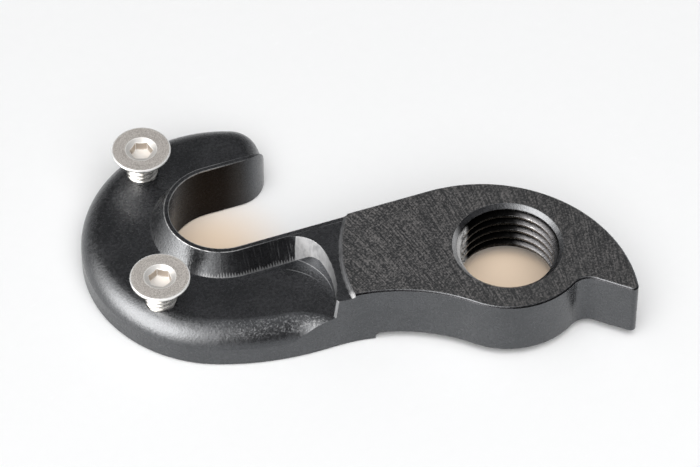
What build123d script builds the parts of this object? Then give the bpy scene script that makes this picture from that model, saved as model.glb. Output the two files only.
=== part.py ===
from build123d import *
from math import hypot, sqrt
import os

# Derailleur hanger with its two mounting screws, in millimetres.
# The origin is on the axis of the derailleur bolt, in the plane that the frame's dropout seats on.
# +X runs along the wheel axle's slot towards its open end, and +Z points out of the seat.

# Derailleur bolt eye
bolt_hole_diameter = 10.0
bolt_hole_chamfer = 0.22
thread_pitch = 1.0
eye_radius = 7.65

# Wheel axle slot, placed from the derailleur bolt
axle_x = -23.5
axle_y = 13.95
slot_width = 10.0

# Heights from the seat
plate_thickness = 4.25
rib_height = 2.2
arm_step = 0.45
arm_relief = 0.75

# C-shaped plate round the slot
plate_radius = 13.45
plate_shift_x = -0.1
plate_shift_y = -0.35
finger_reach = 6.87
finger_outer_corner = 2.9
finger_inner_corner = 3.2
edge_round = 2.4
edge_round_crease = 0.02
front_runout_radius = 4.0
front_runout_lead = 3.0
finger_runout_radius = 1.6

# Rib round the slot, and the end of the seat at the arm
rib_land = 0.45
rib_slope = 1.3
rib_end_round = 3.0
seat_corner_top = 3.1
seat_corner_foot = 1.1
seat_end_top_radius = 11.0
seat_end_foot_radius = 9.0
seat_end_x = -16.15
seat_end_y = 4.3
seat_end_break = 0.3

# Arm
front_drop = 0.85
waist_radius = 16.5
front_straight = 1.92
nose_radius = 14.45
nose_x = -4.5
step_radius = 15.5
step_fillet = 0.4
relief_radius = 13.5
relief_fillet = 0.5
edge_break = 0.15

# Stop tab for the derailleur's tension screw
tab_root_angle = -48.0
tab_edge_angle = -42.0
tab_notch_radius = 1.8
tab_tip_radius = 0.5

# Mounting screws, both on one circle inside the plate's edge
screw_edge_distance = 3.0
screw_angles = (217.8, 117.8)
screw_diameter = 3.0
screw_length = 6.0
screw_head_diameter = 5.65
screw_head_rim = 0.3
screw_head_break = 0.12
screw_head_standoff = 3.2
screw_tip_chamfer = 0.4
screw_clearance = 0.05
socket_across_flats = 2.0
socket_depth = 1.2
socket_countersink_diameter = 2.9

# Levels and places that follow from the sizes above
back_z = -plate_thickness
arm_back_z = back_z + arm_relief
arm_top_z = rib_height + arm_step
near_y = axle_y - slot_width / 2
far_y = axle_y + slot_width / 2
finger_x = axle_x + finger_reach
axle = Vector(axle_x, axle_y)
plate_center = Vector(axle_x + plate_shift_x, axle_y + plate_shift_y)
waist_y = plate_center.Y - plate_radius - front_drop
beyond = 3 * plate_radius


def polar(radius, angle):
    return Vector(radius, 0).rotate(Axis.Z, angle)


def faces_seat(edge, radius):
    middle = edge @ 0.5
    return middle.X < 0 and abs(hypot(middle.X, middle.Y) - radius) < edge_break


screw_circle_radius = plate_radius - screw_edge_distance
screw_places = [plate_center + polar(screw_circle_radius, angle) for angle in screw_angles]

# Corners of the outline: each arc is tangent to its neighbours
nose_center = Vector(nose_x, near_y - nose_radius)
tab_root = polar(eye_radius, tab_root_angle)
tab_direction = polar(1, tab_edge_angle)
root_from_nose = tab_root - nose_center
along = tab_direction.dot(root_from_nose)
tab_length = -along + sqrt(along**2 + nose_radius**2 - root_from_nose.dot(root_from_nose))
tab_tip = tab_root + tab_direction * tab_length
waist_center_x = -sqrt((waist_radius + eye_radius) ** 2 - (waist_radius - waist_y) ** 2)
waist_center = Vector(waist_center_x, waist_y - waist_radius)
eye_to_waist = waist_center.normalized() * eye_radius
blend_center_x = waist_center_x - front_straight
blend_lead = blend_center_x - plate_center.X
blend_radius = plate_radius + (blend_lead**2 + front_drop**2) / (2 * front_drop)
blend_center = Vector(blend_center_x, waist_y + blend_radius)
blend_to_plate = plate_center + (plate_center - blend_center).normalized() * plate_radius
corner_x = finger_x - finger_outer_corner
corner_rise = sqrt((plate_radius - finger_outer_corner) ** 2 - (corner_x - plate_center.X) ** 2)
corner_center = Vector(corner_x, plate_center.Y + corner_rise)
plate_to_corner = plate_center + (corner_center - plate_center).normalized() * plate_radius
corner_to_end = Vector(finger_x, corner_center.Y)

# Outline of the blank, before the slot is cut
with BuildSketch() as blank:
    with BuildLine():
        nose_start = (nose_x, near_y)
        nose = TangentArc(nose_start, tab_tip, tangent=(1, 0))
        Line(tab_tip, tab_root)
        eye = TangentArc(tab_root, eye_to_waist, tangent=polar(1, tab_root_angle - 90))
        waist = TangentArc(eye_to_waist, (waist_center_x, waist_y), tangent=eye % 1)
        Line((waist_center_x, waist_y), (blend_center_x, waist_y))
        blend = TangentArc((blend_center_x, waist_y), blend_to_plate, tangent=(-1, 0))
        plate = TangentArc(blend_to_plate, plate_to_corner, tangent=blend % 1)
        TangentArc(plate_to_corner, corner_to_end, tangent=plate % 1)
        Line(corner_to_end, (finger_x, near_y))
        Line((finger_x, near_y), nose_start)
    make_face()
    fillet(blank.vertices().sort_by_distance(tab_tip)[0], tab_tip_radius)
    fillet(blank.vertices().sort_by_distance(tab_root)[0], tab_notch_radius)

# Slot for the wheel axle, with the rounded inner corner of the finger
with BuildSketch() as slot:
    with Locations(axle):
        Circle(slot_width / 2)
        Rectangle(finger_reach + slot_width, slot_width, align=(Align.MIN, Align.CENTER))
    with Locations((finger_x, near_y)):
        Rectangle(slot_width, 1.5 * slot_width, align=(Align.MIN, Align.MIN))
    fillet(slot.vertices().sort_by_distance((finger_x, far_y))[0], finger_inner_corner)

# Path of the plate's rounded upper edge: it leaves the outline at both ends
runout_drop = sqrt(blend_radius**2 - front_runout_lead**2)
runout_point = blend_center - Vector(front_runout_lead, runout_drop)
runout_normal = (runout_point - blend_center).normalized()
runout_center = runout_point + runout_normal * front_runout_radius
runout_start = runout_center - (runout_normal * front_runout_radius).rotate(Axis.Z, -70)
finger_runout_y = far_y + rib_land + rib_slope + finger_runout_radius
with BuildLine() as rim_path:
    blend_tangent = runout_normal.rotate(Axis.Z, -90)
    round_front = TangentArc(runout_start, runout_point, tangent=blend_tangent.rotate(Axis.Z, -70))
    round_blend = TangentArc(runout_point, blend_to_plate, tangent=blend_tangent)
    round_plate = TangentArc(blend_to_plate, plate_to_corner, tangent=round_blend % 1)
    TangentArc(plate_to_corner, corner_to_end, tangent=round_plate % 1)
    Line(corner_to_end, (finger_x, finger_runout_y))
    TangentArc(
        (finger_x, finger_runout_y),
        (finger_x + finger_runout_radius, finger_runout_y - finger_runout_radius),
        tangent=(0, -1),
    )
rim_start = Plane(round_front @ 0, x_dir=Vector(0, 0, 1).cross(round_front % 0), z_dir=round_front % 0)

# What stands above the seat: the rib sloping down from the slot, and the arm with its upright end,
# whose corner at the front is broken
def seat_end_at(radius, y):
    return seat_end_x - radius + sqrt(radius**2 - (y - seat_end_y) ** 2)


seat_low_y = waist_y + seat_end_break
with BuildPart() as raised:
    for height, land, corner, end_radius in (
        (-edge_round, rib_land + rib_slope, seat_corner_foot, seat_end_foot_radius),
        (0, rib_land + rib_slope, seat_corner_foot, seat_end_foot_radius),
        (rib_height, rib_land, seat_corner_top, seat_end_top_radius),
    ):
        with BuildSketch(Plane.XY.offset(height)) as level:
            with Locations(axle):
                Circle(slot_width / 2 + land)
                Rectangle(beyond, slot_width + 2 * land, align=(Align.MIN, Align.CENTER))
            with BuildLine():
                low = Vector(seat_end_at(end_radius, seat_low_y), seat_low_y)
                high = (seat_end_at(end_radius, near_y), near_y)
                broken = low + Vector(seat_end_break, -2 * seat_end_break)
                ThreePointArc(high, (seat_end_x, seat_end_y), low)
                Polyline(
                    low,
                    broken,
                    (broken.X, -beyond),
                    (beyond + axle_x, -beyond),
                    (beyond + axle_x, near_y),
                    high,
                )
            make_face()
            rib_corner = (seat_end_at(end_radius, near_y - land), near_y - land)
            fillet(level.vertices().sort_by_distance(rib_corner)[0], corner)
    loft(ruled=True)
    with BuildSketch(Plane.XY.offset(-edge_round)):
        add(blank.sketch)
    extrude(amount=edge_round + rib_height, mode=Mode.INTERSECT)

# Upper level of the arm: its round step has a fillet at the foot
with BuildPart() as upper:
    with BuildSketch(Plane.XZ):
        with BuildLine():
            step_wall = Line((step_radius, arm_top_z), (step_radius, rib_height + step_fillet))
            step_foot = (step_radius + step_fillet, rib_height)
            TangentArc(step_wall @ 1, step_foot, tangent=(0, -1))
            Polyline(step_foot, (0, rib_height), (0, arm_top_z), step_wall @ 0)
        make_face()
    revolve(axis=Axis.Z)
    with BuildSketch(Plane.XY.offset(rib_height)):
        add(blank.sketch)
    extrude(amount=arm_step, mode=Mode.INTERSECT)

with BuildPart() as hanger:
    # Plate with its back edges broken and its upper edge rounded
    with BuildSketch(Plane.XY.offset(back_z)):
        add(blank.sketch)
        add(slot.sketch, mode=Mode.SUBTRACT)
    extrude(amount=plate_thickness)
    chamfer(hanger.faces().sort_by(Axis.Z)[0].edges(), edge_break)
    with BuildSketch(rim_start):
        with Locations((edge_round_crease - edge_round, edge_round_crease - edge_round)):
            Rectangle(1.3 * edge_round, 1.3 * edge_round, align=(Align.MIN, Align.MIN))
            Circle(edge_round, mode=Mode.SUBTRACT)
    sweep(path=rim_path.wire(), mode=Mode.SUBTRACT)
    add(raised.part)

    # Upper level of the arm, stepped up from the shelf beside the seat
    add(upper.part)

    # Relief that lifts the back of the arm off the back of the plate
    with BuildSketch(Plane.XZ):
        with BuildLine():
            relief_wall = Line((relief_radius, back_z), (relief_radius, arm_back_z - relief_fillet))
            relief_top = (relief_radius - relief_fillet, arm_back_z)
            TangentArc(relief_wall @ 1, relief_top, tangent=(0, 1))
            Polyline(relief_top, (0, arm_back_z), (0, back_z), relief_wall @ 0)
        make_face()
    revolve(axis=Axis.Z, mode=Mode.SUBTRACT)
    with BuildSketch(Plane.XY.offset(back_z)):
        Rectangle(beyond, beyond, align=(Align.MIN, Align.CENTER))
    extrude(amount=arm_relief, mode=Mode.SUBTRACT)

    # Rounded end of the rib
    with BuildSketch(Plane.XZ.offset(-axle_y)):
        with Locations((finger_x - rib_end_round, rib_height - rib_end_round)):
            Rectangle(2 * rib_end_round, 2 * rib_end_round, align=(Align.MIN, Align.MIN))
            Circle(rib_end_round, mode=Mode.SUBTRACT)
    extrude(amount=-plate_radius, mode=Mode.SUBTRACT)

    # Slot
    with BuildSketch(Plane.XY.offset(back_z)):
        add(slot.sketch)
    extrude(amount=plate_thickness + arm_top_z, mode=Mode.SUBTRACT)

    # Broken edges along the arm's top and back
    top_edges = hanger.edges().filter_by_position(Axis.Z, arm_top_z, arm_top_z)
    chamfer(top_edges.filter_by(lambda e: not faces_seat(e, step_radius)), edge_break)
    arm_edges = hanger.edges().filter_by_position(Axis.Z, arm_back_z, arm_back_z)
    chamfer(arm_edges.filter_by(lambda e: not faces_seat(e, relief_radius - relief_fillet)), edge_break)

    # Threaded hole for the derailleur bolt: a chamfered bore, with one ring groove for each turn of thread
    thread_depth = 0.54 * thread_pitch
    thread_radius = bolt_hole_diameter / 2
    crest_radius = thread_radius - thread_depth
    mouth_radius = thread_radius + bolt_hole_chamfer
    mouth_depth = mouth_radius - crest_radius
    thread_turns = int((arm_top_z - arm_back_z) / thread_pitch)
    with BuildSketch(Plane.XZ):
        with BuildLine():
            Polyline(
                (0, arm_back_z),
                (mouth_radius, arm_back_z),
                (crest_radius, arm_back_z + mouth_depth),
                (crest_radius, arm_top_z - mouth_depth),
                (mouth_radius, arm_top_z),
                (0, arm_top_z),
                close=True,
            )
        make_face()
        with Locations((thread_radius, (arm_top_z + arm_back_z) / 2)):
            with GridLocations(0, thread_pitch, 1, thread_turns):
                Polygon(
                    (0, -thread_pitch / 16),
                    (0, thread_pitch / 16),
                    (-9 / 8 * thread_depth, thread_pitch * 7 / 16),
                    (-9 / 8 * thread_depth, -thread_pitch * 7 / 16),
                    align=None,
                )
    revolve(axis=Axis.Z, mode=Mode.SUBTRACT)

    # Threaded holes for the mounting screws
    with BuildSketch(Plane.XY.offset(back_z)):
        with Locations(*screw_places):
            Circle(screw_diameter / 2 + screw_clearance)
    extrude(amount=plate_thickness, mode=Mode.SUBTRACT)

hanger.part.label = "hanger"

# Countersunk screws with a hexagon socket, turned partly into the plate
head_cone = (screw_head_diameter - screw_diameter) / 2
tip_z = screw_head_standoff - screw_length
socket_lead = socket_countersink_diameter / 2
with BuildPart() as screw:
    with BuildSketch(Plane.XZ):
        with BuildLine():
            Polyline(
                (0, tip_z),
                (screw_diameter / 2 - screw_tip_chamfer, tip_z),
                (screw_diameter / 2, tip_z + screw_tip_chamfer),
                (screw_diameter / 2, screw_head_standoff - screw_head_rim - head_cone),
                (screw_head_diameter / 2, screw_head_standoff - screw_head_rim),
                (screw_head_diameter / 2, screw_head_standoff - screw_head_break),
                (screw_head_diameter / 2 - screw_head_break, screw_head_standoff),
                (0, screw_head_standoff),
                close=True,
            )
        make_face()
    revolve(axis=Axis.Z)
    with BuildSketch(Plane.XY.offset(screw_head_standoff)):
        RegularPolygon(socket_across_flats / 2, 6, major_radius=False)
    extrude(amount=-socket_depth, mode=Mode.SUBTRACT)
    with BuildSketch(Plane.XZ):
        with BuildLine():
            Polyline(
                (0, screw_head_standoff),
                (socket_lead, screw_head_standoff),
                (0, screw_head_standoff - socket_lead / 2),
                close=True,
            )
        make_face()
    revolve(axis=Axis.Z, mode=Mode.SUBTRACT)

with BuildPart() as mounting_screws:
    with Locations(*screw_places):
        add(screw.part)

mounting_screws.part.label = "mounting_screws"

os.makedirs("parts", exist_ok=True)
export_step(hanger.part, "parts/hanger.step")
export_step(mounting_screws.part, "parts/mounting_screws.step")
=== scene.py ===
from math import atan2, cos, pi, radians, sin, tan, tau

import bmesh
import bpy
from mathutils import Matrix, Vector


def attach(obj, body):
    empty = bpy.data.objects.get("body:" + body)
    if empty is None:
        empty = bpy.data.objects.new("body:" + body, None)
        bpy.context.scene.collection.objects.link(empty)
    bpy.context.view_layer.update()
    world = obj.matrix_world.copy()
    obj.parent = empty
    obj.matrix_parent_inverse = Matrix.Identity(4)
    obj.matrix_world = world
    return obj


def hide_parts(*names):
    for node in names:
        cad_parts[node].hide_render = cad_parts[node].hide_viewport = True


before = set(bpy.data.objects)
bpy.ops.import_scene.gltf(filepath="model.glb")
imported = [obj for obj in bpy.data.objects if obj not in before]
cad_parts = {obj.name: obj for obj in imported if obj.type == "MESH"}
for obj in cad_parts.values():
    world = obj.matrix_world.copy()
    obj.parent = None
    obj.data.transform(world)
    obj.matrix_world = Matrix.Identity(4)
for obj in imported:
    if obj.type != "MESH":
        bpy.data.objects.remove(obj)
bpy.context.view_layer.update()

# Places and sizes of the CAD model that the pieces follow, in millimetres
MM = 0.001
BACK_Z = -4.25
RIB_Z = 2.2
AXLE = (-23.5, 13.95)
SLOT_RADIUS = 5.0
RIB_RADIUS = 6.6
BOLT = (0.0, 0.0)
SCREWS = {"screw_front": ((-31.857, 7.195), 27.0), "screw_rear": ((-28.474, 22.844), 42.0)}
SCREW_TOP_Z = 3.2
SCREW_TIP_Z = -2.8
SCREW_RADIUS = 1.5
SCREW_HEAD_RADIUS = 2.825
SCREW_HEAD_RIM = 0.3
SCREW_PITCH = 0.5
SCREW_THREAD_DEPTH = 0.3
SCREW_TIP_CHAMFER = 0.4
SOCKET_RADIUS = 1.0
SOCKET_LEAD_RADIUS = 1.45

# Colours of the anodised hanger and of its bare cuts, and its painted shade and painted highlights
DYE_DARK = (0.003, 0.003, 0.0035, 1)
DYE_PALE = (0.022, 0.022, 0.024, 1)
MILLED_DARK = (0.002, 0.002, 0.002, 1)
MILLED_PALE = (0.15, 0.141, 0.137, 1)
MILLED_BY_HOLE = (0.006, 0.0055, 0.005, 1)
# Painted shade on the rib's slope past the slot's end and on the lower half of the arm's broken edge
PAINTED_SHADE_DARK = (0.02, 0.02, 0.022, 1)
SLOT_WALL = (0.010, 0.007, 0.005, 1)
# Painted shade in the thread's roots, and a painted sheen and painted glints on its right side
THREAD_ROOT_SHADE = (0.002, 0.002, 0.002, 1)
FLANK_DARK = (0.005, 0.005, 0.005, 1)
FLANK_PAINTED_SHEEN = (0.12, 0.12, 0.125, 1)
THREAD_PAINTED_GLINT = (0.6, 0.6, 0.6, 1)
# Painted reflection on the left of the thread, and painted highlight on the left of the hole's mouth
THREAD_PAINTED_REFLECTION = (0.5, 0.495, 0.49, 1)
MOUTH_PAINTED_HIGHLIGHT = (0.36, 0.36, 0.365, 1)
# Bare cuts and worn edges, and the painted highlights of the seat's end, the step's front end and the
# plate's grain glints
BARE_METAL_AND_HIGHLIGHT = (0.46, 0.465, 0.475, 1)
COOL_GLOSS = (0.91, 0.95, 1.0, 1)

# Colours of the screws' steel
STEEL_DARK = (0.66, 0.65, 0.63, 1)
STEEL_PALE = (0.76, 0.75, 0.73, 1)
SATIN_DARK = (0.46, 0.42, 0.39, 1)
SATIN_PALE = (0.82, 0.785, 0.745, 1)
SOCKET_LEAD = (0.6, 0.585, 0.565, 1)
# Painted shade on the socket's wall, and painted highlights on its floor, its edges and the head's outer
# rim
SOCKET_WALL_SHADE = (0.42, 0.36, 0.3, 1)
SOCKET_FLOOR_HIGHLIGHT = (0.92, 0.91, 0.89, 1)
STEEL_PAINTED_HIGHLIGHT = (0.95, 0.945, 0.93, 1)

# Colours of the table
TABLE_WHITE = (0.95, 0.953, 0.957, 1)
TABLE_FIBRE = (0.97, 0.973, 0.977, 1)
# Painted warm shade under the slot and the bolt hole
TABLE_PAINTED_SHADE = (0.97, 0.78, 0.60, 1)


# Nodes of a procedural material, which works in millimetres of the part's frame
class Shader:
    def __init__(self, name):
        self.material = bpy.data.materials.new(name)
        self.material.use_nodes = True
        self.tree = self.material.node_tree
        self.surface = self.tree.nodes["Principled BSDF"]
        place = self.node("TexCoord")
        self.position = self.vector("SCALE", place.outputs["Object"], scale=1 / MM)
        self.x, self.y, self.z = self.split(self.position)
        self.facing_right, self.facing_back, self.facing_up = self.split(place.outputs["Normal"])

    def node(self, kind, **settings):
        made = self.tree.nodes.new("ShaderNode" + kind)
        for key, value in settings.items():
            setattr(made, key, value)
        return made

    def plug(self, socket, value):
        if isinstance(value, bpy.types.NodeSocket):
            self.tree.links.new(value, socket)
        else:
            socket.default_value = value

    def split(self, vector):
        parts = self.node("SeparateXYZ")
        self.plug(parts.inputs[0], vector)
        return parts.outputs[0], parts.outputs[1], parts.outputs[2]

    def join(self, x, y, z):
        whole = self.node("CombineXYZ")
        for socket, value in zip(whole.inputs, (x, y, z)):
            self.plug(socket, value)
        return whole.outputs[0]

    def vector(self, operation, a, b=None, scale=None):
        made = self.node("VectorMath", operation=operation)
        self.plug(made.inputs[0], a)
        if b is not None:
            self.plug(made.inputs[1], b)
        if scale is not None:
            self.plug(made.inputs["Scale"], scale)
        return made.outputs["Value" if operation in ("LENGTH", "DOT_PRODUCT") else "Vector"]

    def math(self, operation, a, b=0.0):
        made = self.node("Math", operation=operation)
        self.plug(made.inputs[0], a)
        self.plug(made.inputs[1], b)
        return made.outputs[0]

    def chain(self, operation, values):
        result = values[0]
        for value in values[1:]:
            result = self.math(operation, result, value)
        return result

    def total(self, *values):
        return self.chain("ADD", values)

    def product(self, *values):
        return self.chain("MULTIPLY", values)

    def most(self, *values):
        return self.chain("MAXIMUM", values)

    def minus(self, a, b):
        return self.math("SUBTRACT", a, b)

    def outside(self, mask):
        return self.minus(1.0, mask)

    def ramp(self, value, start, end, low=0.0, high=1.0):
        made = self.node("MapRange", interpolation_type="SMOOTHSTEP")
        for socket, setting in zip(made.inputs, (value, start, end, low, high)):
            self.plug(socket, setting)
        return made.outputs[0]

    def band(self, value, middle, half_width, soft):
        offset = self.math("ABSOLUTE", self.minus(value, middle))
        return self.ramp(offset, half_width, half_width + soft, 1.0, 0.0)

    def noise(self, scale, detail, rough, vector=None):
        made = self.node("TexNoise")
        self.plug(made.inputs["Vector"], self.position if vector is None else vector)
        self.plug(made.inputs["Scale"], scale)
        self.plug(made.inputs["Detail"], detail)
        self.plug(made.inputs["Roughness"], rough)
        return made.outputs[0]

    # Noise as an offset to either side of nothing
    def sway(self, noise, amount):
        return self.product(self.minus(noise, 0.5), amount)

    def mix(self, factor, a, b):
        made = self.node("Mix", data_type="RGBA")
        self.plug(made.inputs["Factor"], factor)
        self.plug(made.inputs[6], a)
        self.plug(made.inputs[7], b)
        return made.outputs[2]

    # Distance in plan from a point
    def distance(self, place):
        offset = self.vector("SUBTRACT", self.join(self.x, self.y, 0.0), (place[0], place[1], 0.0))
        return self.vector("LENGTH", offset)

    def bump(self, height, depth, normal=None):
        made = self.node("Bump")
        self.plug(made.inputs["Strength"], 1.0)
        self.plug(made.inputs["Distance"], depth * MM)
        self.plug(made.inputs["Height"], height)
        if normal is not None:
            self.plug(made.inputs["Normal"], normal)
        return made.outputs[0]

    def soft_edges(self, radius):
        made = self.node("Bevel", samples=6)
        self.plug(made.inputs["Radius"], radius * MM)
        return made.outputs[0]

    # How far softened edges turn the surface off its own direction, from 0 on a flat face
    def turned_off(self, rounded):
        own = self.node("NewGeometry").outputs["Normal"]
        return self.outside(self.vector("DOT_PRODUCT", rounded, own))

    def set(self, **values):
        for key, value in values.items():
            self.plug(self.surface.inputs[key.replace("_", " ").title().replace("Ior", "IOR")], value)


# Black anodised aluminium: machined, blasted to a fine grain, then dyed
class HangerShader(Shader):
    def __init__(self):
        super().__init__("black_anodised_aluminium")
        level = self.ramp(self.facing_up, 0.93, 0.99)
        self.arm_top = self.product(level, self.ramp(self.z, 2.5, 2.6))
        self.off_arm_top = self.outside(self.arm_top)
        self.pocket = self.product(level, self.band(self.z, 0.0, 0.05, 0.02))
        self.from_bolt = self.distance(BOLT)
        self.measure_slot()
        self.add_grain()
        self.find_rib()
        self.find_step()
        self.find_hole()

    # Distance from the slot's edge, which the rib follows, and the way along the rib from the slot's end
    def measure_slot(self):
        from_axle = self.minus(self.x, AXLE[0])
        past_axle = self.math("MAXIMUM", from_axle, 0.0)
        before_axle = self.math("MINIMUM", from_axle, 0.0)
        self.side = self.minus(self.y, AXLE[1])
        from_line = self.vector("LENGTH", self.join(before_axle, self.side, 0.0))
        self.from_slot = self.minus(from_line, SLOT_RADIUS)
        turn = self.math("ARCTAN2", self.product(before_axle, -1.0), self.product(self.side, -1.0))
        self.along_rib = self.minus(self.product(turn, RIB_RADIUS), past_axle)

    # Blasted grain and pits in three sizes, and slow clouds of the dye
    def add_grain(self):
        self.grain = self.noise(4.5, 2.0, 0.6)
        self.specks = self.noise(3.0, 3.0, 0.65)
        self.pits = self.noise(5.0, 4.0, 0.75)
        self.clouds = self.noise(0.22, 3.0, 0.55)

    # Slope of the rib as far as its smooth corner, with teeth and strokes of the cutter down it
    def find_rib(self):
        steep = self.product(self.ramp(self.facing_up, 0.3, 0.4), self.ramp(self.facing_up, 0.8, 0.7))
        beside_slot = self.ramp(self.from_slot, 0.3, 0.45)
        above_plate = self.ramp(self.z, -0.1, 0.0)
        self.past_corner = self.ramp(self.minus(self.x, self.product(self.z, 0.22)), -18.62, -18.54)
        self.on_rib = self.product(steep, beside_slot, above_plate, self.outside(self.past_corner))
        self.tooth = self.math("PINGPONG", self.along_rib, 0.135)
        down_slope = self.join(self.along_rib, self.product(self.z, 0.06), 0.0)
        self.strokes = self.noise(5.0, 2.0, 0.6, down_slope)

    # Slope of the arm's step
    def find_step(self):
        near_step = self.band(self.from_bolt, 15.72, 0.22, 0.03)
        above_rib = self.ramp(self.z, RIB_Z, RIB_Z + 0.02)
        beside_rib = self.ramp(self.x, -10.0, -12.0)
        self.on_step = self.product(near_step, above_rib, beside_rib, self.off_arm_top)

    # Wall of the bolt hole between the chamfers of its mouth and its foot
    def find_hole(self):
        self.below_mouth = self.ramp(self.minus(self.z, self.from_bolt), -2.6, -2.66)
        above_foot = self.ramp(self.total(self.z, self.from_bolt), 1.7, 1.76)
        self.in_hole = self.product(self.ramp(self.from_bolt, 5.1, 5.05), self.below_mouth, above_foot)
        self.uneven_thread = self.noise(4.0, 3.0, 0.7)

    # Uneven cutter marks that cross on the arm's top: the first set turns with the way along the arm
    def cutter_marks(self):
        lean = self.total(self.product(self.x, 0.0275), 0.03)
        first_across = self.minus(self.x, self.product(lean, self.y))
        first = self.noise(7.0, 3.0, 0.6, self.join(first_across, self.product(self.y, 0.04), 0.0))
        second_across = self.minus(self.product(self.y, 0.83), self.product(self.x, 0.56))
        second = self.noise(7.0, 3.0, 0.6, self.join(second_across, self.product(self.x, 0.04), 5.0))
        return self.total(self.product(first, 0.5), self.product(second, 0.2), self.product(self.pits, 0.9))

    # Bright teeth at the foot of the rib's slope
    def rib_foot(self):
        slow = self.noise(0.8, 2.0, 0.5, self.join(self.along_rib, 0.0, 0.0))
        tall = self.ramp(slow, 0.3, 0.6, 1.2, 3.6)
        low = self.math("LESS_THAN", self.z, self.product(self.tooth, tall))
        return self.product(self.on_rib, low, self.ramp(self.along_rib, 5.5, 3.5))

    # Bright strokes down the rib's slope, most beside its corner
    def fine_strokes(self):
        toward_corner = self.ramp(self.x, -20.8, -18.8, 0.07, 0.3)
        return self.product(self.on_rib, self.ramp(self.strokes, 0.54, 0.66), toward_corner)

    # Bright cut of the rib's corner and of the seat's upright end beside it, with a painted highlight
    # mostly where it faces the window at the left
    def seat_end_cut_and_highlight(self):
        to_left = self.most(self.ramp(self.facing_right, -0.3, -0.45), self.ramp(self.y, 4.5, 5.5))
        upright = self.product(self.ramp(self.facing_up, 0.6, 0.5), self.ramp(self.facing_back, 0.4, 0.2))
        levels = self.product(self.ramp(self.z, 0.0, 0.06), self.ramp(self.z, 2.22, 2.18))
        cut = self.product(self.past_corner, to_left, upright, levels, self.ramp(self.x, -14.0, -15.0))
        lines = self.noise(5.0, 2.0, 0.6, self.join(self.x, self.y, self.product(self.z, 0.2)))
        fading = self.product(self.ramp(self.y, 12.0, 10.0), self.ramp(self.y, 2.0, 6.5, 0.5, 1.0))
        return self.product(cut, self.ramp(lines, 0.3, 0.6, 0.75, 1.0), fading)

    # Grey cut of the arm's step, with a painted highlight at its front end
    def step_cut(self):
        grey = self.ramp(self.noise(1.2, 3.0, 0.6), 0.3, 0.7, 0.035, 0.085)
        painted_front_highlight = self.ramp(self.y, 0.2, -0.5, 0.0, 0.6)
        return self.product(self.on_step, self.total(grey, painted_front_highlight))

    # Two cutter arcs in the pocket beside the arm
    def pocket_arcs(self):
        long_arc = self.band(self.distance((-22.0, 3.14)), 5.5, 0.012, 0.04)
        long_arc = self.product(long_arc, self.ramp(self.y, 1.5, 4.5))
        short_arc = self.band(self.distance((-22.07, 1.8)), 5.24, 0.01, 0.035)
        short_arc = self.product(short_arc, self.ramp(self.x, -17.0, -18.5), 0.7)
        start = self.product(self.pocket, self.ramp(self.x, -20.0, -18.6))
        return self.product(self.most(long_arc, short_arc), start)

    # Patchy wear on the edges
    def edge_wear(self, rounded):
        edge = self.ramp(self.turned_off(rounded), 0.015, 0.12)
        return self.product(edge, self.ramp(self.noise(1.6, 4.0, 0.7), 0.4, 0.62))

    # Wear on the two upper edges of the rib, most round the slot's end
    def rib_edges(self):
        inner = self.band(self.from_slot, 0.02, 0.025, 0.02)
        outer = self.band(self.from_slot, 0.43, 0.025, 0.02)
        at_top = self.band(self.z, RIB_Z, 0.08, 0.05)
        round_end = self.ramp(self.x, -20.5, -23.5, 0.15, 1.0)
        patches = self.ramp(self.noise(1.0, 3.0, 0.6), 0.3, 0.55)
        return self.product(self.most(inner, outer), at_top, round_end, patches)

    # Painted glints: bright specks of the blasted grain on the plate's rounded edge, most toward the front
    def painted_grain_glints(self):
        rounding = self.product(self.ramp(self.facing_up, 0.5, 0.7), self.ramp(self.facing_up, 0.985, 0.95))
        on_plate = self.product(self.ramp(self.z, 0.0, -0.05), self.ramp(self.from_bolt, 13.0, 14.0))
        bright_grain = self.ramp(self.noise(6.0, 2.0, 0.6), 0.55, 0.63)
        toward_front = self.product(self.ramp(self.x, -31.0, -25.0, 0.2, 1.0), self.ramp(self.y, 12.0, 8.0))
        return self.product(rounding, on_plate, bright_grain, toward_front)

    # Wall of the slot near its round end, a near-black metal that mirrors almost nothing
    def slot_wall(self):
        upright = self.product(self.ramp(self.from_slot, 0.6, 0.01), self.ramp(self.facing_up, 0.3, 0.2))
        round_end = self.product(self.ramp(self.side, -4.7, -2.5), self.ramp(self.x, -16.6, -22.0))
        return self.product(upright, self.ramp(self.z, 2.15, 2.05), round_end)

    # Painted shade on the lower half of the broken edge along the arm's top, which stays dark
    def painted_shade_low_break(self):
        slanted = self.product(self.ramp(self.facing_up, 0.4, 0.5), self.ramp(self.facing_up, 0.9, 0.8))
        lower_half = self.band(self.z, 2.53, 0.045, 0.02)
        off_hole = self.ramp(self.from_bolt, 5.3, 5.5)
        return self.product(slanted, lower_half, off_hole, self.outside(self.on_step))

    # Painted reflection on the left side of the hole's thread, and in patches on the crests next to it
    def painted_thread_reflection(self):
        at_left = self.ramp(self.x, -3.0, -3.8)
        painted_lit_crest = self.product(self.ramp(self.from_bolt, 4.95, 4.7), self.ramp(self.x, -2.3, -2.9))
        patches = self.ramp(self.uneven_thread, 0.35, 0.6, 0.3, 1.0)
        return self.most(at_left, self.product(painted_lit_crest, patches))

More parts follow.
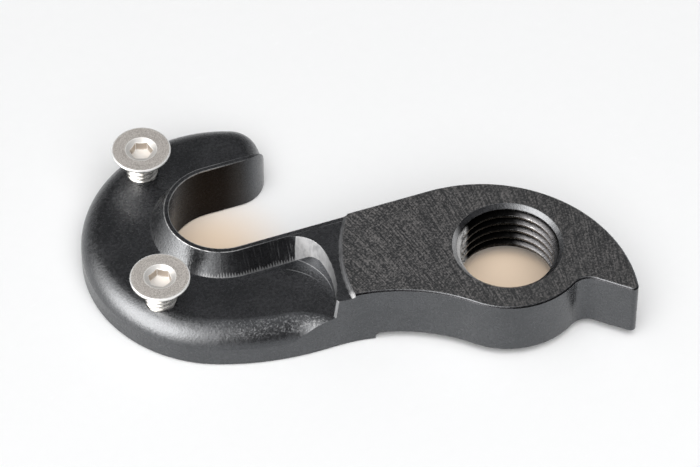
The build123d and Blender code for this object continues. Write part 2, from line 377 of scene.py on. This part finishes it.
    # Thread with painted shade in its roots and dark flanks at the left and centre, and a painted sheen on
    # its flanks and a row of painted glints on its crests at the right
    def thread_color(self, painted_thread_reflection):
        slant = self.minus(self.y, self.product(self.z, 0.31))
        painted_glint = self.product(self.band(slant, 2.41, 0.04, 0.2), self.ramp(self.x, 2.5, 3.0))
        on_crest = self.ramp(self.from_bolt, 4.6, 4.48)
        patches = self.ramp(self.uneven_thread, 0.42, 0.6)
        fading_down = self.ramp(self.z, -1.5, 1.6, 0.25, 0.9)
        painted_glint = self.product(painted_glint, on_crest, patches, fading_down)
        flank = self.mix(self.ramp(self.x, 2.1, 3.5), FLANK_DARK, FLANK_PAINTED_SHEEN)
        flank = self.mix(painted_glint, flank, THREAD_PAINTED_GLINT)
        thread = self.mix(self.ramp(self.from_bolt, 4.9, 4.46), THREAD_ROOT_SHADE, flank)
        return self.mix(painted_thread_reflection, thread, THREAD_PAINTED_REFLECTION)

    # Painted highlight on the left side of the chamfer at the hole's mouth
    def mouth(self):
        chamfer = self.product(self.ramp(self.from_bolt, 5.3, 5.25), self.outside(self.below_mouth))
        at_top = self.product(self.ramp(self.z, 1.5, 1.6), self.off_arm_top)
        return self.product(chamfer, at_top, self.ramp(self.x, -3.2, -4.4))

    # Dyed grain, and the milled top of the arm, which is darker towards the hole
    def dye(self, marks):
        clouded = self.total(self.product(self.clouds, 0.6), self.product(self.specks, 0.4))
        uneven = self.total(clouded, self.product(self.pits, 0.8))
        grained = self.mix(self.ramp(uneven, 0.75, 1.1), DYE_DARK, DYE_PALE)
        milled = self.mix(self.ramp(marks, 0.72, 1.0), MILLED_DARK, MILLED_PALE)
        milled = self.mix(self.ramp(self.x, -14.0, 6.0, 0.0, 0.25), milled, MILLED_BY_HOLE)
        return self.mix(self.arm_top, grained, milled)

    def roughness(self, cuts_wear_and_highlights, seat_end_cut_and_highlight):
        grained = self.total(0.27, self.sway(self.specks, 0.3), self.sway(self.clouds, 0.1))
        cut = self.product(self.most(seat_end_cut_and_highlight, self.on_step), 0.2)
        return self.total(grained, self.product(self.arm_top, 0.14), self.product(cuts_wear_and_highlights, 0.1), cut)

    # Relief of the grain, which is finer on the sides, and of the cutter marks
    def relief(self, marks, arcs):
        coarse = self.ramp(self.math("ABSOLUTE", self.facing_up), 0.15, 0.35, 0.25, 1.0)
        grained = self.total(self.product(self.grain, coarse, 1.5), self.product(self.specks, coarse, 0.8))
        on_arm = self.product(self.arm_top, marks, 1.5)
        on_slope = self.product(self.on_rib, self.total(self.product(self.tooth, 2.0), self.strokes), 0.6)
        return self.total(grained, on_arm, on_slope, self.product(arcs, -0.6))


# The hanger's material: bare cuts and worn edges are bright metal, some with painted highlights, and the
# slot's wall, the thread and the painted shade are metal of a near-black colour
def anodised_aluminium():
    sh = HangerShader()
    rounded = sh.soft_edges(0.09)
    marks = sh.cutter_marks()
    arcs = sh.pocket_arcs()
    seat_end_cut_and_highlight = sh.seat_end_cut_and_highlight()
    wear = sh.most(sh.product(sh.edge_wear(rounded), 0.35), sh.rib_edges(), sh.product(arcs, 0.8))
    slope_cuts = sh.most(sh.product(sh.rib_foot(), 0.45), sh.fine_strokes())
    # Bare cuts and worn edges, with the painted highlights of the seat's end, the step's front end and the
    # grain glints
    cuts_wear_and_highlights = sh.most(wear, slope_cuts, seat_end_cut_and_highlight, sh.step_cut(), sh.product(sh.painted_grain_glints(), 0.35))

    in_slot = sh.slot_wall()
    painted_shade_low_break = sh.painted_shade_low_break()
    painted_thread_reflection = sh.painted_thread_reflection()
    # Painted shade on the rib's slope past the slot's round end, which shows the dark room
    painted_shade_slope = sh.product(sh.on_rib, sh.ramp(sh.x, -27.5, -22.5), 0.78)

    color = sh.mix(painted_shade_slope, sh.dye(marks), PAINTED_SHADE_DARK)
    # Painted shade on the lower half of the arm's broken edge
    color = sh.mix(painted_shade_low_break, color, PAINTED_SHADE_DARK)
    color = sh.mix(in_slot, color, SLOT_WALL)
    # Thread with painted shade, painted sheen, painted glints and a painted reflection
    color = sh.mix(sh.in_hole, color, sh.thread_color(painted_thread_reflection))
    # Painted highlight on the left side of the hole's mouth
    color = sh.mix(sh.mouth(), color, MOUTH_PAINTED_HIGHLIGHT)
    color = sh.mix(cuts_wear_and_highlights, color, BARE_METAL_AND_HIGHLIGHT)
    # Painted shade: the thread outside its painted reflection is metal of a near-black colour, with its
    # painted sheen and glints
    shaded_thread = sh.product(sh.in_hole, sh.outside(painted_thread_reflection))
    metal = sh.most(cuts_wear_and_highlights, in_slot, shaded_thread, painted_shade_slope, painted_shade_low_break)
    sh.set(base_color=color, roughness=sh.roughness(cuts_wear_and_highlights, seat_end_cut_and_highlight), metallic=metal)
    sh.set(ior=1.8, specular_tint=COOL_GLOSS)
    sh.set(normal=sh.bump(sh.relief(marks, arcs), 0.014, rounded))
    return sh.material


# Bright steel of a screw, turned on the head and rolled on the thread
def screw_steel(name, place):
    sh = Shader(name)
    radius = sh.distance(place)
    haze = sh.noise(2.2, 3.0, 0.6)
    fine = sh.noise(9.0, 3.0, 0.65)
    rings = sh.join(radius, sh.product(sh.x, 0.02), sh.product(sh.z, 0.3))
    turned = sh.noise(26.0, 3.0, 0.7, rings)

    # Flat of the head, the socket with its lead-in, its wall in painted shade and its floor in painted
    # highlight, and painted highlights on the rim and the socket's edges
    at_top = sh.ramp(sh.z, SCREW_TOP_Z - 0.1, SCREW_TOP_Z - 0.05)
    top = sh.product(sh.ramp(sh.facing_up, 0.9, 0.98), at_top)
    near_socket = sh.product(sh.ramp(radius, 1.56, 1.52), sh.ramp(sh.z, 1.8, 1.85))
    socket = sh.product(near_socket, sh.outside(top))
    wall = sh.product(socket, sh.ramp(sh.facing_up, 0.5, 0.4))
    deep = sh.ramp(sh.z, SCREW_TOP_Z - 0.6, SCREW_TOP_Z - 0.7)
    floor = sh.product(socket, sh.ramp(sh.facing_up, 0.6, 0.7), deep)
    edge = sh.ramp(sh.turned_off(sh.soft_edges(0.12)), 0.003, 0.015)
    above_cone = sh.ramp(sh.z, SCREW_TOP_Z - 0.2, SCREW_TOP_Z - 0.1)
    outer_rim = sh.product(sh.ramp(radius, 2.66, 2.72), above_cone)
    # Painted highlights on the head's outer rim and the socket's edges
    bright = sh.most(outer_rim, sh.product(near_socket, edge))

    pale = sh.mix(sh.ramp(haze, 0.35, 0.7), STEEL_DARK, STEEL_PALE)
    brushed = sh.total(sh.product(turned, 0.5), sh.product(fine, 0.8))
    satin = sh.mix(sh.ramp(brushed, 0.5, 0.8), SATIN_DARK, SATIN_PALE)
    color = sh.mix(socket, sh.mix(top, pale, satin), SOCKET_LEAD)
    color = sh.mix(wall, color, SOCKET_WALL_SHADE)
    color = sh.mix(floor, color, SOCKET_FLOOR_HIGHLIGHT)
    color = sh.mix(bright, color, STEEL_PAINTED_HIGHLIGHT)
    less_metal = sh.most(sh.product(top, 0.12), sh.product(sh.most(socket, bright), 0.45))
    smooth = sh.total(0.15, sh.product(top, 0.27), sh.product(socket, 0.25))
    rough = sh.total(smooth, sh.sway(haze, 0.12), sh.sway(fine, 0.1))
    height = sh.total(sh.product(top, turned, 0.5), sh.product(fine, 0.5), sh.product(haze, 0.5))
    sh.set(base_color=color, roughness=rough, metallic=sh.minus(0.85, less_metal))
    sh.set(normal=sh.bump(height, 0.006, sh.soft_edges(0.04)))
    return sh.material


# White table, with a painted warm shade under the slot and the bolt hole
def table_white():
    sh = Shader("table_white")
    # Painted shade: a warm tint under the bolt hole and the slot
    in_hole = sh.ramp(sh.distance(BOLT), 4.5, 7.0, 1.0, 0.0)
    in_slot = sh.ramp(sh.distance((-25.5, 14.0)), 2.0, 10.0, 1.0, 0.0)
    fibre = sh.noise(0.9, 4.0, 0.6)
    white = sh.mix(fibre, TABLE_WHITE, TABLE_FIBRE)
    sh.set(base_color=sh.mix(sh.most(in_hole, in_slot), white, TABLE_PAINTED_SHADE))
    sh.set(roughness=sh.ramp(fibre, 0.2, 0.8, 0.2, 0.28), specular_ior_level=0.15)
    sh.set(normal=sh.bump(fibre, 0.004))
    return sh.material


# Object of a finished mesh, smooth but for the edges sharper than an angle
def finish_mesh(name, faces_from, material, smooth_angle):
    mesh = bpy.data.meshes.new(name)
    faces_from.to_mesh(mesh)
    faces_from.free()
    mesh.materials.append(material)
    mesh.shade_smooth()
    mesh.set_sharp_from_angle(angle=radians(smooth_angle))
    piece = bpy.data.objects.new(name, mesh)
    bpy.context.scene.collection.objects.link(piece)
    return piece


# Rows that follow a helix between two levels: the last column joins the first one pitch higher
def add_helix(shape, center, spin, columns, pitch, steps, low, high, radius_at):
    rows = []
    per_pitch = len(steps)
    last = (int((high - low) / pitch) + 3) * per_pitch
    for i in range(last + 1):
        phase = steps[i % per_pitch]
        row = []
        for j in range(columns):
            z = low + (i // per_pitch - 2 + phase + j / columns) * pitch
            z = min(max(z, low), high)
            radius = radius_at(phase, z)
            angle = tau * j / columns + spin
            place = Vector((center[0] + radius * cos(angle), center[1] + radius * sin(angle), z))
            row.append(shape.verts.new(place * MM))
        rows.append(row)
    for i in range(last):
        for j in range(columns):
            right = rows[i][j + 1 : j + 2] or [rows[min(i + per_pitch, last)][0]]
            right_above = rows[i + 1][j + 1 : j + 2] or [rows[min(i + 1 + per_pitch, last)][0]]
            corners = [rows[i][j], right[0], right_above[0], rows[i + 1][j]]
            shape.faces.new(list(dict.fromkeys(corners)))
    bmesh.ops.remove_doubles(shape, verts=shape.verts, dist=1e-8)


# Open edges of a shape at one level
def rim_at(shape, z):
    return [e for e in shape.edges if e.is_boundary and abs(e.verts[0].co.z - z * MM) < 1e-7]


# A further ring of faces from an open rim: each point goes to the radius and height of its angle
def grow(shape, rim, center, spin, point_at):
    made = bmesh.ops.extrude_edge_only(shape, edges=rim)["geom"]
    for vert in (g for g in made if isinstance(g, bmesh.types.BMVert)):
        angle = atan2(vert.co.y / MM - center[1], vert.co.x / MM - center[0])
        radius, z = point_at(angle - spin)
        vert.co = Vector((center[0] + radius * cos(angle), center[1] + radius * sin(angle), z)) * MM
    return [g for g in made if isinstance(g, bmesh.types.BMEdge) and g.is_boundary]


# Depth of a thread's groove, from 0 on the flat at phase 0 to 1 on the other flat
def groove(phase, first_flat, second_flat):
    flank = (1 - first_flat - second_flat) / 2
    rise = (phase - first_flat) / flank
    fall = (1 - phase) / flank
    return min(max(min(rise, fall), 0.0), 1.0)


# Phases of one turn's rows: both flats, and each flank in a few steps
def thread_steps(first_flat, second_flat, flank_steps):
    flank = (1 - first_flat - second_flat) / 2
    steps = [0.0]
    steps += [first_flat + flank * k / flank_steps for k in range(flank_steps + 1)]
    steps += [1 - flank + flank * k / flank_steps for k in range(flank_steps)]
    return steps


# Countersunk screw with a rolled thread and a hexagon socket
def mounting_screw(name, place, spin, material):
    shape = bmesh.new()
    top = SCREW_TOP_Z
    outside = SCREW_HEAD_RADIUS
    lead_z = top - 0.02
    neck = top - SCREW_HEAD_RIM - (SCREW_HEAD_RADIUS - SCREW_RADIUS)
    flats = (0.16, 0.2)

    def outer_radius(phase, z):
        depth = SCREW_THREAD_DEPTH * min((neck - z) / 0.3, 1.0)
        on_tip = SCREW_RADIUS - SCREW_TIP_CHAMFER + z - SCREW_TIP_Z
        return min(SCREW_RADIUS - depth * groove(phase, *flats), on_tip)

    def socket_radius(angle):
        return SOCKET_RADIUS / cos(angle % (tau / 6) - pi / 6)

    def lead_floor(angle):
        return lead_z - (SOCKET_LEAD_RADIUS - socket_radius(angle)) / 2

    steps = thread_steps(*flats, 4)
    add_helix(shape, place, spin, 96, SCREW_PITCH, steps, SCREW_TIP_Z, neck, outer_radius)
    bmesh.ops.edgeloop_fill(shape, edges=rim_at(shape, SCREW_TIP_Z))
    head = [(outside - 0.05, top - 0.35), (outside - 0.015, top - SCREW_HEAD_RIM), (outside, top - 0.25)]
    head += [(outside, top - 0.12), (outside - 0.035, top - 0.035), (outside - 0.12, top)]
    head += [(SOCKET_LEAD_RADIUS + 0.04, top), (SOCKET_LEAD_RADIUS, lead_z)]
    rim = rim_at(shape, neck)
    for radius, z in head:
        rim = grow(shape, rim, place, spin, lambda angle: (radius, z))
    for inset, depth in ((0.0, 0.0), (0.02, 0.05), (0.02, 0.9), (0.06, 0.98)):
        rim = grow(shape, rim, place, spin, lambda a: (socket_radius(a) - inset, lead_floor(a) - depth))
    rim = grow(shape, rim, place, spin, lambda a: (0.35 * socket_radius(a), top - 1.25))
    bmesh.ops.edgeloop_fill(shape, edges=rim)
    bmesh.ops.recalc_face_normals(shape, faces=shape.faces)
    return finish_mesh(name, shape, material, 16)


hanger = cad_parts["hanger"]
hanger.material_slots[0].material = anodised_aluminium()

for name, (place, spin) in SCREWS.items():
    screw = mounting_screw(name, place, radians(spin), screw_steel("steel_" + name, place))
    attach(screw, "root")
    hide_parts("mounting_screws")

# Table just under the part's back, four metres square
table = bmesh.new()
table_z = (BACK_Z - 0.005) * MM
table.faces.new([table.verts.new((x, y, table_z)) for x, y in ((-2, -2), (2, -2), (2, 2), (-2, 2))])
floor_piece = finish_mesh("table", table, table_white(), 30)

# Camera at the photograph's view
camera_data = bpy.data.cameras.new("camera")
camera_data.sensor_width = 36.0
camera_data.lens = 216.0
camera_data.clip_start = 0.01
camera = bpy.data.objects.new("camera", camera_data)
bpy.context.scene.collection.objects.link(camera)
azimuth = radians(-20.3)
elevation = radians(49.3)
back = Vector((sin(azimuth) * cos(elevation), -cos(azimuth) * cos(elevation), sin(elevation)))
camera.location = Vector((-102.36, -234.18, 300.93)) * MM
camera.rotation_euler = back.to_track_quat("Z", "Y").to_euler()
bpy.context.scene.camera = camera


# Soft studio light: a round light of a given half angle and brightness, aimed at the part
def soft_light(name, plan, height, half_angle, brightness, tint):
    distance = 0.7
    part_middle = Vector((-20, 10, 0)) * MM
    radius = distance * tan(radians(half_angle))
    lamp = bpy.data.lights.new(name, "AREA")
    lamp.shape = "DISK"
    lamp.size = 2 * radius
    lamp.energy = brightness * pi * pi * radius**2
    lamp.color = tint
    piece = bpy.data.objects.new(name, lamp)
    bpy.context.scene.collection.objects.link(piece)
    level = cos(radians(height))
    outward = Vector((cos(radians(plan)) * level, sin(radians(plan)) * level, sin(radians(height))))
    piece.location = part_middle + outward * distance
    piece.rotation_euler = outward.to_track_quat("Z", "Y").to_euler()
    return piece


# An even box above lights the table and the colours, and a window at the left shows in the gloss, with
# its light falling off towards the sides
box = soft_light("box_above", -105, 60, 36, 2.55, (1.0, 1.0, 1.0))
box.visible_glossy = False
window_rings = ((24, 10.0), (35, 6.4), (52, 2.3))
for ring, (half_angle, brightness) in enumerate(window_rings):
    pane = soft_light(f"window_left_{ring}", -167, 24, half_angle, brightness, (1.0, 0.97, 0.94))
    pane.visible_diffuse = False

# Dim room with a pale wall at the back
world = bpy.data.worlds.new("room")
bpy.context.scene.world = world
world.use_nodes = True
nodes = world.node_tree.nodes
links = world.node_tree.links


def room_ramp(value, stops):
    made = nodes.new("ShaderNodeValToRGB")
    links.new(value, made.inputs[0])
    while len(made.color_ramp.elements) < len(stops):
        made.color_ramp.elements.new(0.5)
    for element, (place, bright) in zip(made.color_ramp.elements, stops):
        element.position = place
        element.color = (bright, bright, bright, 1)
    return made.outputs[0]


def room_math(operation, a, b):
    made = nodes.new("ShaderNodeMath")
    made.operation = operation
    links.new(a, made.inputs[0])
    links.new(b, made.inputs[1])
    return made.outputs[0]


direction = nodes.new("ShaderNodeTexCoord")
parts = nodes.new("ShaderNodeSeparateXYZ")
links.new(direction.outputs["Generated"], parts.inputs[0])
overhead = ((0.0, 0.12), (0.6, 0.13), (0.78, 0.2), (0.9, 0.34), (1.0, 0.7))
ceiling = room_ramp(parts.outputs[2], overhead)
low = room_ramp(parts.outputs[2], ((0.25, 0.3), (0.45, 0.0)))
at_back = room_ramp(parts.outputs[1], ((0.05, 0.0), (0.4, 1.0)))
room = room_math("ADD", ceiling, room_math("MULTIPLY", low, at_back))
links.new(room, nodes["Background"].inputs["Strength"])
nodes["Background"].inputs["Color"].default_value = (1, 1, 1, 1)

bpy.context.scene.view_settings.view_transform = "Standard"
